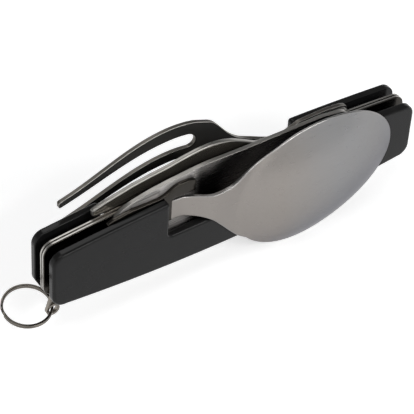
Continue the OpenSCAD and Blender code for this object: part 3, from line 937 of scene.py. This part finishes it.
class CUTLERY_OT_spoon(Build, bpy.types.Operator):
    """Build the spoon: tang, nail lug, neck and bowl in one sheet"""

    bl_idname = "cutlery.spoon"
    bl_label = "Spoon"

    def execute(self, context):
        tool, size = sizes(context, "tools"), sizes(context, "spoon")
        outline = rounded(self.outline(tool, size), spacing=0.55)
        seam, seam_half, seam_low, seam_high = size.seam, 0.04, 3.6, 11.6
        thin_start, thin_length, past_lug = -4, 9, 0.1

        def near(x, z):
            base = strip_depth(tool, x, bow=0, peak=30, end=60)
            lug = (z > tool.neck_high + size.slit / 2) & (x < size.lug_end + size.slit)
            rise = 1 - self.reach(size, x, z)
            soft = size.soft_rim
            rise = np.where(rise < soft, np.maximum(rise + soft, 0) ** 2 / (4 * soft), rise)
            return np.where(lug, LAYER_B, base) + size.bowl_depth * rise

        def far(x, z):
            thin = np.clip(self.reach(size, x, z), 0, 1) * ramp((x - thin_start) / thin_length)
            return near(x, z) + mix(TOOL_T, size.rim_t, thin)

        crease = np.array([
            (seam - seam_half, seam_low), (seam + seam_half, seam_low),
            (seam + seam_half, seam_high), (seam - seam_half, seam_high),
        ])
        steel = finish_of(context, "spoon_satin")
        piece = plate(
            "spoon_blank", [outline, bore(tool, -PIVOT_X)], near, far,
            (size.rim_round, size.rim_round), [steel], cell=0.9, creases=[spaced(crease, spacing=0.4)],
        )
        slit = tool.neck_high + size.slit / 2
        # Painted shade: the tang, and the nail lug where it lies within the slot, get the near-black steel.
        repaint(
            piece, finish_of(context, "shade_painted_steel"),
            lambda x, y, z: x < seam or (z > slit and x < size.lug_end + past_lug and -y < SLOT_END),
        )
        place(piece, "spoon", "spoon_steel", "spoon")
        return {"FINISHED"}

    @staticmethod
    def reach(size, x, z):
        """Square of the distance from the bowl's middle, 1 at its rim."""
        c, s = math.cos(size.bowl_tilt), math.sin(size.bowl_tilt)
        along = (x - size.bowl_x) * c + (z - size.bowl_z) * s
        across = (z - size.bowl_z) * c - (x - size.bowl_x) * s
        back = size.bowl_l * size.bowl_back
        length_share = along / np.where(along < 0, back, size.bowl_l - back)
        return length_share**2 + (across * 2 / size.bowl_w) ** 2

    @staticmethod
    def rim(size, start, end):
        """Points along the bowl's rim, in degrees round its middle."""
        c, s = math.cos(size.bowl_tilt), math.sin(size.bowl_tilt)
        back, step = size.bowl_l * size.bowl_back, 3
        points = []
        for a in np.radians(np.arange(start, end + step / 2, step)):
            along = math.cos(a) * (back if math.cos(a) < 0 else size.bowl_l - back)
            across = math.sin(a) * size.bowl_w / 2
            x, z = size.bowl_x + along * c - across * s, size.bowl_z + along * s + across * c
            points.append((x, z, 0))
        return points

    def outline(self, tool, size):
        """Corners of the spoon, anticlockwise from the underside of its tang."""
        top = tool.neck_high
        under_neck = [(-11.6, 1.7, 7), (-9.2, 0.3, 6), (-7.1, -2.1, 12), (-3.8, -6.2, 20), (-0.9, -9.6, 8)]
        over_neck = [(6.3, 14.5, 12), (3.4, 13.3, 14), (1, 12.1, 14), (-1.9, 10.2, 8), (-3.8, 9.25, 8),
                     (-6, top - 0.3, 12), (-14.6, top - 0.5, 14)]
        slit_start = size.seam + 0.5
        lug = [
            (slit_start, top, 0.1), (slit_start, top + size.slit, 0.1),
            (size.lug_end, top + size.slit, 0.3), (size.lug_end, 13.2, 0.5), (size.lug_end - 2, 13.8, 2),
            (-17.4, 13.9, 3), (-19.2, 13.2, 4), (-21, 12.1, 4),
        ]
        return (
            tang_under(tool) + under_neck + self.rim(size, -154, 111) + over_neck + lug
            + tang_over(tool, -23) + heel(tool, -PIVOT_X, -1)
        )


class CUTLERY_OT_knife(Build, bpy.types.Operator):
    """Build the knife blade with its ground edge and nail nick"""

    bl_idname = "cutlery.knife"
    bl_label = "Knife"

    def execute(self, context):
        tool = sizes(context, "tools")
        edge = -3.0
        corners = [
            *heel(tool, PIVOT_X, 1), (tool.step_x, tool.step, 0.5), (tool.step_x - 1, 10, 2), (34, 13.6, 4),
            (27, 14.8, 12), (4, 15.1, 40), (-8.8, 15.7, 40), (-19.3, 14.9, 40), (-25.1, 14.2, 30),
            (-31.5, 12.8, 10), (-34.5, 11.4, 5), (-36, 9.4, 2.5), (-34.5, 6, 10), (-31, 2.4, 12),
            (-26, -0.8, 12), (-20, edge, 10), (30, edge, 3), (33, -1.2, 3), (38, -1.6, 10), (42, -2.7, 10),
        ]
        nick = np.array([(-31.2, 11.0), (-22.4, 11.2), (-22.4, 12.9), (-30.6, 12.4)])
        slope, grind_end, grind_fade = 0.25, 30, 3

        def grind(x, z):
            share = np.clip((z - edge) / tool.grind, 0, 1)
            share = mix(1, share, ramp((grind_end - x) / grind_fade))
            return mix(tool.edge_half, TOOL_T / 2, share)

        def near(x, z):
            return LAYER_A + TOOL_T / 2 - grind(x, z)

        def far(x, z):
            room = np.full(np.shape(x), slope)
            for (ax, az), (bx, bz) in zip(nick, np.roll(nick, -1, 0)):
                away = ((bx - ax) * (z - az) - (bz - az) * (x - ax)) / math.hypot(bx - ax, bz - az)
                room = np.minimum(room, away)
            return LAYER_A + TOOL_T / 2 + grind(x, z) - tool.nick_depth * ramp(room / slope)

        piece = plate(
            "knife_blade", [rounded(corners, spacing=0.8), bore(tool, PIVOT_X)], near, far,
            (tool.blade_round, tool.blade_round),
            [finish_of(context, "blade_satin"), finish_of(context, "bright_edge")], cell=1.2,
            creases=[spaced(inset(nick, depth), spacing=0.4) for depth in (0.01, slope)],
        )
        place(piece, "knife", "blade_steel", "knife")
        return {"FINISHED"}


class CUTLERY_OT_fork(Build, bpy.types.Operator):
    """Build the fork: tang, neck and a bowed head with three tines"""

    bl_idname = "cutlery.fork"
    bl_label = "Fork"

    def execute(self, context):
        tool, size = sizes(context, "tools"), sizes(context, "fork")
        root = size.tip_x - size.tine_l
        tines = (
            (size.low_root, size.low_tip, size.low_w),
            (size.middle_root, size.middle_tip, size.middle_w),
            (size.top_root, size.top_tip, size.top_w),
        )

        def edge(k, side, x):
            """Height of a tine's lower (side -1) or upper (side 1) edge."""
            drawn = ramp((x - root - size.draw) / (size.tine_l - size.draw))
            root_z, tip_z, root_w = tines[k]
            return float(mix(root_z, tip_z, drawn) + side * mix(root_w, size.tine_tip_w, drawn) / 2)

        low_z, high_z = edge(0, -1, root), edge(2, 1, root)
        top, start = tool.neck_high, tool.jog_start
        jog_end = start + tool.jog
        corners = tang_under(tool) + [(jog_end, tool.neck_low, 10), (root - 6, low_z + 0.2, 20)]
        steps, flat_share = 22, 0.75
        shaft = np.linspace(root + 0.4, size.tip_x - 0.5, steps)
        for k in range(3):
            corners += [(x, edge(k, -1, x), 0) for x in shaft]
            for side in (-1, 1):
                blunt = mix(edge(k, 0, size.tip_x), edge(k, side, size.tip_x), flat_share)
                corners.append((size.tip_x, blunt, size.tip_round))
            corners += [(x, edge(k, 1, x), 0) for x in shaft[::-1]]
            if k < 2:
                low_side, high_side = edge(k, 1, root), edge(k + 1, -1, root)
                corners += arc(root, (low_side + high_side) / 2, (high_side - low_side) / 2, 270, 90)
        corners += [
            (root, high_z, 6), (root - 1.9, high_z - 0.1, 6), (1.6, high_z - 1, 3), (0.5, high_z - 1.6, 2),
            (-0.9, high_z - 3.1, 5), (-3.3, high_z - 6.1, 12), (-5.2, high_z - 8, 10), (-7.3, 10.4, 6),
            (-9.5, 9.4, 6), (jog_end - 4, top, 8), (start, top, 6),
        ]
        corners += tang_over(tool, -23) + heel(tool, -PIVOT_X, -1)

        def near(x, z):
            return strip_depth(tool, x, size.bow, size.peak, size.tip_x)

        piece = plate(
            "fork_blank", [rounded(corners, spacing=0.8), bore(tool, -PIVOT_X)],
            near, lambda x, z: near(x, z) + TOOL_T,
            (tool.edge_round, tool.edge_round),
            [finish_of(context, name) for name in ("dark_mirror", "bright_edge", "ground_edge")],
            cell=1.0, rear=True,
        )
        place(piece, "fork", "polished_steel", "fork")
        return {"FINISHED"}


class CUTLERY_OT_opener(Build, bpy.types.Operator):
    """Build the can and bottle opener with its screwdriver tip"""

    bl_idname = "cutlery.opener"
    bl_label = "Opener"

    def execute(self, context):
        tool = sizes(context, "tools")
        corners = [
            (-40, -1.6, 8), (-34, 0.6, 6), (-4, 0.6, 6), (2, 2.4, 6),
            *arc(10, 4.6, 3, 197, 11, 12), *arc(16, 4.2, 2.5, 150.8, 57.8, 12),
            (40, 10.4, 0.6), (40, 12.4, 0.6), (36, 13.6, 10), (31.5, 14.6, 20), (28.3, 15.3, 20),
            (23.4, 16, 30), (18.2, 16.5, 30), (13.5, 17.4, 20), (8.8, 18, 20), (5.5, 18, 12),
            (2.1, 17.5, 10), (-1, 16.5, 8), (-4.8, 14.4, 8), (-8.6, 12.1, 4), (-10.5, 11.6, 10),
            (-tool.step_x + 1, 10.6, 1.5),
            (-tool.step_x, tool.step, 0.5),
            *heel(tool, -PIVOT_X, -1),
        ]
        piece = plate(
            "opener_blank", [rounded(corners, spacing=1.0), bore(tool, -PIVOT_X)],
            level(LAYER_A), level(LAYER_A + TOOL_T),
            (tool.bevel, tool.edge_round),
            [finish_of(context, "opener_face"), finish_of(context, "bright_edge")], cell=2.0, rear=True,
        )
        place(piece, "opener", "polished_steel", "opener")
        return {"FINISHED"}


class CUTLERY_OT_bail(Build, bpy.types.Operator):
    """Build the strip that is bent round its pin and curled into a loop"""

    bl_idname = "cutlery.bail"
    bl_label = "Bail"

    def execute(self, context):
        size = sizes(context, "ring")
        least, most = low("bail"), high("bail")
        play = 0.02
        pin, pin_r = middle("bail_pin"), (high("bail_pin")[2] - low("bail_pin")[2]) / 2 + play
        outer_pin, outer_loop = pin_r + size.strip_t, size.loop_r
        loop_x, loop_z = least[0] + outer_loop, least[2] + outer_loop
        meet_loop = math.degrees(math.acos((outer_loop - size.strip_t) / outer_loop))
        meet_pin = math.degrees(math.acos((outer_pin - size.strip_t) / outer_pin))
        corners = arc(loop_x, loop_z, outer_loop, 180, 540 - meet_loop, 10)
        corners += arc(pin[0], pin[2], outer_pin, 180 + meet_pin, 540, 10)
        rings = [
            rounded(corners, spacing=0.3),
            circle(loop_x, loop_z, outer_loop - size.strip_t),
            circle(pin[0], pin[2], pin_r),
        ]
        piece = plate(
            "bail_strip", rings, level(-most[1]), level(-least[1]), (size.strip_round, size.strip_round),
            [finish_of(context, "dark_nickel")],
        )
        place(piece, "front_half", "liner_steel", "bail")
        return {"FINISHED"}


class CUTLERY_OT_split_ring(Build, bpy.types.Operator):
    """Wind the split ring from flattened wire, two turns with open ends"""

    bl_idname = "cutlery.split_ring"
    bl_label = "Split Ring"

    def execute(self, context):
        size = sizes(context, "ring")
        centre = middle("split_ring")
        radius = (high("split_ring")[0] - low("split_ring")[0] - size.wire_w) / 2 - size.inset_r
        half_w, half_h, r = size.wire_w / 2, size.turn_h / 2, size.wire_round
        section = [
            p for x, z, start in ((half_w - r, r - half_h, -90), (half_w - r, half_h - r, 0),
                                  (r - half_w, half_h - r, 90), (r - half_w, r - half_h, 180))
            for p in arc(x, z, r, start, start + 90, 30)
        ]
        climb = size.turn_h + size.turn_gap
        turn, gap, step = 2 * math.pi, math.radians(1.5), math.radians(3)
        path = np.arange(size.ramp + gap, 2 * turn - gap, step)
        lean = Matrix.Rotation(size.lean, 3, "X")
        points, faces, count = [], [], len(section)
        for a in path:
            height = climb * (float(ramp((a - turn) / size.ramp)) - 0.5)
            c, s = math.cos(size.ends + a), math.sin(size.ends + a)
            for x, z, _ in section:
                spot = lean @ Vector(((radius + x) * c, (radius + x) * s, z + height))
                points.append(np.array(spot) + centre)
        for i in range(len(path) - 1):
            for k in range(count):
                n = (k + 1) % count
                faces.append((i * count + k, i * count + n, (i + 1) * count + n, (i + 1) * count + k)[::-1])
        faces.append(tuple(range(count)))
        faces.append(tuple(range((len(path) - 1) * count, len(path) * count))[::-1])
        piece = new_piece("split_ring_wire", points, faces, [finish_of(context, "dark_nickel")])
        place(piece, "ring", "ring_chrome", "split_ring")
        return {"FINISHED"}


class CUTLERY_OT_stage(Build, bpy.types.Operator):
    """Set the floor, the lamps, the surrounding light and the camera"""

    bl_idname = "cutlery.stage"
    bl_label = "Stage"

    def execute(self, context):
        size = sizes(context, "stage")
        self.floor(size)
        self.world(size)
        self.lamps()
        self.camera(size)
        context.scene.view_settings.view_transform = "Standard"
        return {"FINISHED"}

    @staticmethod
    def floor(size):
        """Pale floor: its own shading with its shadows, lifted to white for the rays that see it."""
        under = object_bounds()[0].z - size.floor_gap * MM
        bpy.ops.mesh.primitive_plane_add(size=size.floor_side * MM, location=(0, 0, under))
        floor = bpy.context.object
        floor.name = "floor"
        pale = Finish("pale_floor", 0.0, 0.9, specular=0.1)
        nodes, links, shader = pale.nodes, pale.links, pale.shader
        shader.inputs["Base Color"].default_value = (0.85, 0.85, 0.85, 1)
        glow = nodes.new("ShaderNodeEmission")
        glow.inputs["Strength"].default_value = size.floor_glow
        rays = nodes.new("ShaderNodeLightPath")
        seen = rays.outputs["Is Camera Ray"]
        for kind in ("Is Glossy Ray", "Is Transmission Ray"):
            seen = pale.sum(seen, rays.outputs[kind], "MAXIMUM")
        lifted = nodes.new("ShaderNodeAddShader")
        links.new(shader.outputs["BSDF"], lifted.inputs[0])
        links.new(glow.outputs["Emission"], lifted.inputs[1])
        blend = nodes.new("ShaderNodeMixShader")
        links.new(seen, blend.inputs["Fac"])
        links.new(shader.outputs["BSDF"], blend.inputs[1])
        links.new(lifted.outputs["Shader"], blend.inputs[2])
        links.new(blend.outputs["Shader"], nodes["Material Output"].inputs["Surface"])
        floor.data.materials.append(pale.material)
        floor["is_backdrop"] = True

    @staticmethod
    def world(size):
        """White walls all round that fade to a dim ceiling."""
        world = bpy.data.worlds.new("studio")
        bpy.context.scene.world = world
        world.use_nodes = True
        background = world.node_tree.nodes["Background"]
        background.inputs["Color"].default_value = (0.98, 0.99, 1.0, 1)
        nodes, links = world.node_tree.nodes, world.node_tree.links
        sky = nodes.new("ShaderNodeTexCoord")
        split = nodes.new("ShaderNodeSeparateXYZ")
        links.new(sky.outputs["Generated"], split.inputs["Vector"])
        fade = nodes.new("ShaderNodeMapRange")
        links.new(split.outputs["Z"], fade.inputs["Value"])
        fade.inputs["From Min"].default_value = size.wall_top
        fade.inputs["From Max"].default_value = size.ceiling_start
        fade.inputs["To Min"].default_value = size.wall_light
        fade.inputs["To Max"].default_value = size.world_light
        links.new(fade.outputs["Result"], background.inputs["Strength"])

    @staticmethod
    def lamps():
        """Soft lamps that all face the object: name, place and size in metres, and watts."""
        lamps = (
            ("key", (-0.30, -0.15, 0.95), (0.5, 0.5), 2.2),
            ("front", (0.23, -0.70, 0.56), (0.52, 0.20), 3.2),
            ("back", (0.15, 0.545, 0.76), (0.34, 0.34), 0.75),
        )
        for name, spot, (wide, tall), power in lamps:
            data = bpy.data.lights.new(name, "AREA")
            data.shape = "RECTANGLE"
            data.size, data.size_y = wide, tall
            data.energy = power
            lamp = bpy.data.objects.new(name, data)
            lamp.location = spot
            lamp.rotation_mode = "QUATERNION"
            lamp.rotation_quaternion = Vector(spot).to_track_quat("Z", "Y")
            bpy.context.scene.collection.objects.link(lamp)

    @staticmethod
    def camera(size):
        """Camera that looks past the object's origin by the two aims."""
        ca, sa = math.cos(size.azimuth), math.sin(size.azimuth)
        ce, se = math.cos(size.elevation), math.sin(size.elevation)
        back = Vector((sa * ce, -ca * ce, se))
        level_right = Vector((ca, sa, 0))
        level_up = back.cross(level_right)
        c, s = math.cos(size.roll), math.sin(size.roll)
        right, up = level_right * c + level_up * s, level_up * c - level_right * s
        spot = back * size.distance
        look = right * size.aim_right + up * size.aim_up - spot
        away = -look.normalized()
        side = up.cross(away).normalized()
        turn = Matrix((side, away.cross(side), away)).transposed().to_4x4()
        data = bpy.data.cameras.new("camera")
        data.lens = size.lens
        data.sensor_width = 36
        data.clip_start, data.clip_end = 0.01, 50
        camera = bpy.data.objects.new("camera", data)
        camera.matrix_world = Matrix.Translation(spot * MM) @ turn
        bpy.context.scene.collection.objects.link(camera)
        bpy.context.scene.camera = camera


OPERATORS = (
    CUTLERY_OT_scales, CUTLERY_OT_liners, CUTLERY_OT_hardware, CUTLERY_OT_spoon, CUTLERY_OT_knife,
    CUTLERY_OT_fork, CUTLERY_OT_opener, CUTLERY_OT_bail, CUTLERY_OT_split_ring, CUTLERY_OT_stage,
)


class CUTLERY_PT_panel(bpy.types.Panel):
    """Lists the cutlery's builders and their sizes"""

    bl_idname = "CUTLERY_PT_panel"
    bl_label = "Picnic Cutlery"
    bl_space_type = "VIEW_3D"
    bl_region_type = "UI"
    bl_category = "Cutlery"

    def draw(self, context):
        for operator in OPERATORS:
            self.layout.operator(operator.bl_idname)
        for group in GROUPS:
            values = getattr(context.scene, group)
            box = self.layout.box()
            for name in values.__annotations__:
                box.prop(values, name)


def register():
    """Adds the classes and the sizes to Blender."""
    for cls in (*GROUPS.values(), *OPERATORS, CUTLERY_PT_panel):
        bpy.utils.register_class(cls)
    for name, group in GROUPS.items():
        setattr(bpy.types.Scene, name, bpy.props.PointerProperty(type=group))


def unregister():
    """Takes them away again."""
    for name in GROUPS:
        delattr(bpy.types.Scene, name)
    for cls in reversed((*GROUPS.values(), *OPERATORS, CUTLERY_PT_panel)):
        bpy.utils.unregister_class(cls)


def main():
    """Builds every piece and the stage."""
    register()
    for operator in OPERATORS:
        getattr(bpy.ops.cutlery, operator.bl_idname.split(".")[1])()


if __name__ == "__main__":
    main()
